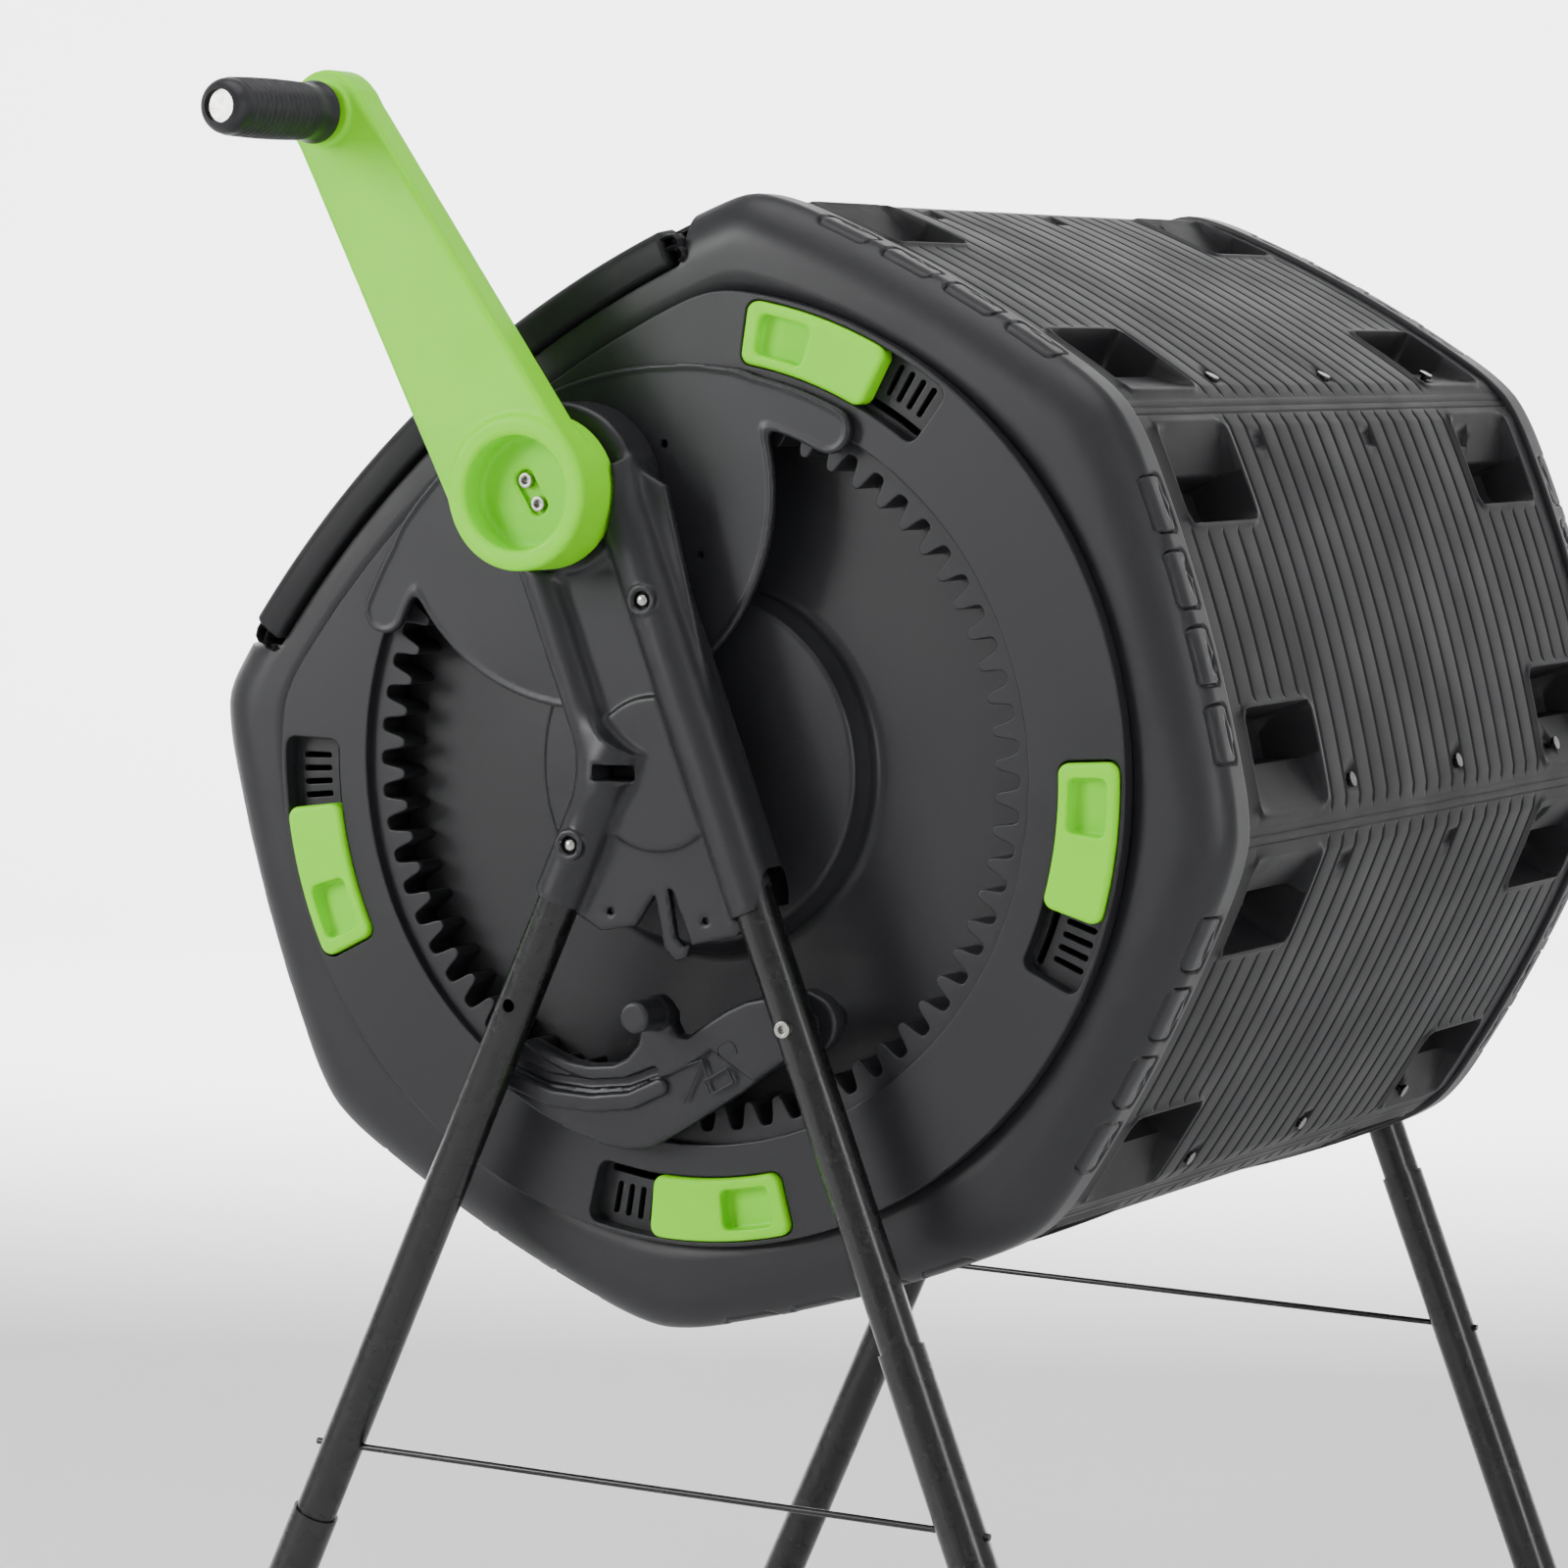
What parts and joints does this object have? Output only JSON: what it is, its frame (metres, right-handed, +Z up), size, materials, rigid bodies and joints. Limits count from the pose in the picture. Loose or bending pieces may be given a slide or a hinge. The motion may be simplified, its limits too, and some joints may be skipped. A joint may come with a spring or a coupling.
{
  "type": "compost tumbler",
  "caption": "Compost tumbler: an eight-cornered two-chamber plastic drum on two A-frames, turned by a geared hand crank, with sliding doors, sliding vents and a drum lock.",
  "frame": {"origin": "on the floor, under the middle of the whole length and width; the axle is straight above it", "axes": "+X along the axle towards the crank, -Y towards the side the doors face, +Z up"},
  "size_m": [0.961, 0.7361, 1.1782],
  "materials": {
    "cap_plastic": "fine grained",
    "panel_plastic": "fine grained",
    "lime_plastic": "satin",
    "stand_plastic": "fine grained",
    "leg_paint": "satin black",
    "bright_steel": "zinc plated",
    "bush_plastic": "natural",
    "foot_rubber": "matt"
  },
  "bodies": {
    "stand": {"crank_bracket": "stand_plastic", "rear_bracket": "stand_plastic", "gear_shield": "stand_plastic", "axle_bushes": "bush_plastic", "crank_straight_leg": "leg_paint", "crank_bent_leg": "leg_paint", "rear_straight_leg": "leg_paint", "rear_bent_leg": "leg_paint", "crank_straight_lower_leg": "leg_paint", "crank_bent_lower_leg": "leg_paint", "rear_straight_lower_leg": "leg_paint", "rear_bent_lower_leg": "leg_paint", "leg_feet": "foot_rubber", "tie_rods": "leg_paint", "snap_buttons": "bright_steel", "lever_bolt": "bright_steel", "lever_spacer": "stand_plastic"},
    "drum": {"crank_end_cap": "cap_plastic", "rear_end_cap": "cap_plastic", "side_panel_1": "panel_plastic", "side_panel_2": "panel_plastic", "side_panel_3": "panel_plastic", "side_panel_4": "panel_plastic", "side_panel_5": "panel_plastic", "side_panel_6": "panel_plastic", "door_frame": "panel_plastic", "divider_wall": "panel_plastic", "axle_tube": "bright_steel", "panel_screws": "bright_steel"},
    "crank": {"crank_arm": "lime_plastic", "pinion": "bright_steel", "crank_screws": "bright_steel", "grip_pin": "bright_steel"},
    "grip": {"crank_grip": "stand_plastic"},
    "crank_end_door": {"crank_end_door": "lime_plastic"},
    "rear_end_door": {"rear_end_door": "lime_plastic"},
    "lock_lever": {"lock_lever": "stand_plastic"},
    "crank_end_vent_1": {"crank_end_vent_1": "lime_plastic"},
    "crank_end_vent_2": {"crank_end_vent_2": "lime_plastic"},
    "crank_end_vent_3": {"crank_end_vent_3": "lime_plastic"},
    "crank_end_vent_4": {"crank_end_vent_4": "lime_plastic"},
    "rear_end_vent_1": {"rear_end_vent_1": "lime_plastic"},
    "rear_end_vent_2": {"rear_end_vent_2": "lime_plastic"},
    "rear_end_vent_3": {"rear_end_vent_3": "lime_plastic"},
    "rear_end_vent_4": {"rear_end_vent_4": "lime_plastic"}
  },
  "joints": [
    {"name": "drum_turn", "type": "hinge", "parent": "stand", "child": "drum", "pos_m": [-0.07325, 0, 0.77], "axis": [1, 0, 0], "continuous": true},
    {"name": "crank_turn", "type": "hinge", "parent": "stand", "child": "crank", "pos_m": [0.26475, -0.07416, 0.93348], "axis": [1, 0, 0], "continuous": true},
    {"name": "grip_turn", "type": "hinge", "parent": "crank", "child": "grip", "pos_m": [0.36875, -0.21685, 1.15321], "axis": [1, 0, 0], "continuous": true},
    {"name": "crank_end_door_slide", "type": "slide", "parent": "drum", "child": "crank_end_door", "axis": [1, 0, 0], "range_m": [-0.272, 0]},
    {"name": "rear_end_door_slide", "type": "slide", "parent": "drum", "child": "rear_end_door", "axis": [1, 0, 0], "range_m": [0, 0.272]},
    {"name": "lock_lever_turn", "type": "hinge", "parent": "stand", "child": "lock_lever", "pos_m": [0.29075, 0.09663, 0.62818], "axis": [1, 0, 0], "range_deg": [0, 5.4]},
    {"name": "crank_end_vent_1_slide", "type": "hinge", "parent": "drum", "child": "crank_end_vent_1", "pos_m": [0.26475, 0, 0.77], "axis": [1, 0, 0], "range_deg": [-8.6, 0]},
    {"name": "crank_end_vent_2_slide", "type": "hinge", "parent": "drum", "child": "crank_end_vent_2", "pos_m": [0.26475, 0, 0.77], "axis": [1, 0, 0], "range_deg": [-8.6, 0]},
    {"name": "crank_end_vent_3_slide", "type": "hinge", "parent": "drum", "child": "crank_end_vent_3", "pos_m": [0.26475, 0, 0.77], "axis": [1, 0, 0], "range_deg": [-8.6, 0]},
    {"name": "crank_end_vent_4_slide", "type": "hinge", "parent": "drum", "child": "crank_end_vent_4", "pos_m": [0.26475, 0, 0.77], "axis": [1, 0, 0], "range_deg": [-8.6, 0]},
    {"name": "rear_end_vent_1_slide", "type": "hinge", "parent": "drum", "child": "rear_end_vent_1", "pos_m": [-0.41125, 0, 0.77], "axis": [1, 0, 0], "range_deg": [-8.6, 0]},
    {"name": "rear_end_vent_2_slide", "type": "hinge", "parent": "drum", "child": "rear_end_vent_2", "pos_m": [-0.41125, 0, 0.77], "axis": [1, 0, 0], "range_deg": [-8.6, 0]},
    {"name": "rear_end_vent_3_slide", "type": "hinge", "parent": "drum", "child": "rear_end_vent_3", "pos_m": [-0.41125, 0, 0.77], "axis": [1, 0, 0], "range_deg": [-8.6, 0]},
    {"name": "rear_end_vent_4_slide", "type": "hinge", "parent": "drum", "child": "rear_end_vent_4", "pos_m": [-0.41125, 0, 0.77], "axis": [1, 0, 0], "range_deg": [-8.6, 0]}
  ],
  "couplings": [
    {"joint": "crank_turn", "follows": "drum_turn", "ratio": 7.3333}
  ]
}
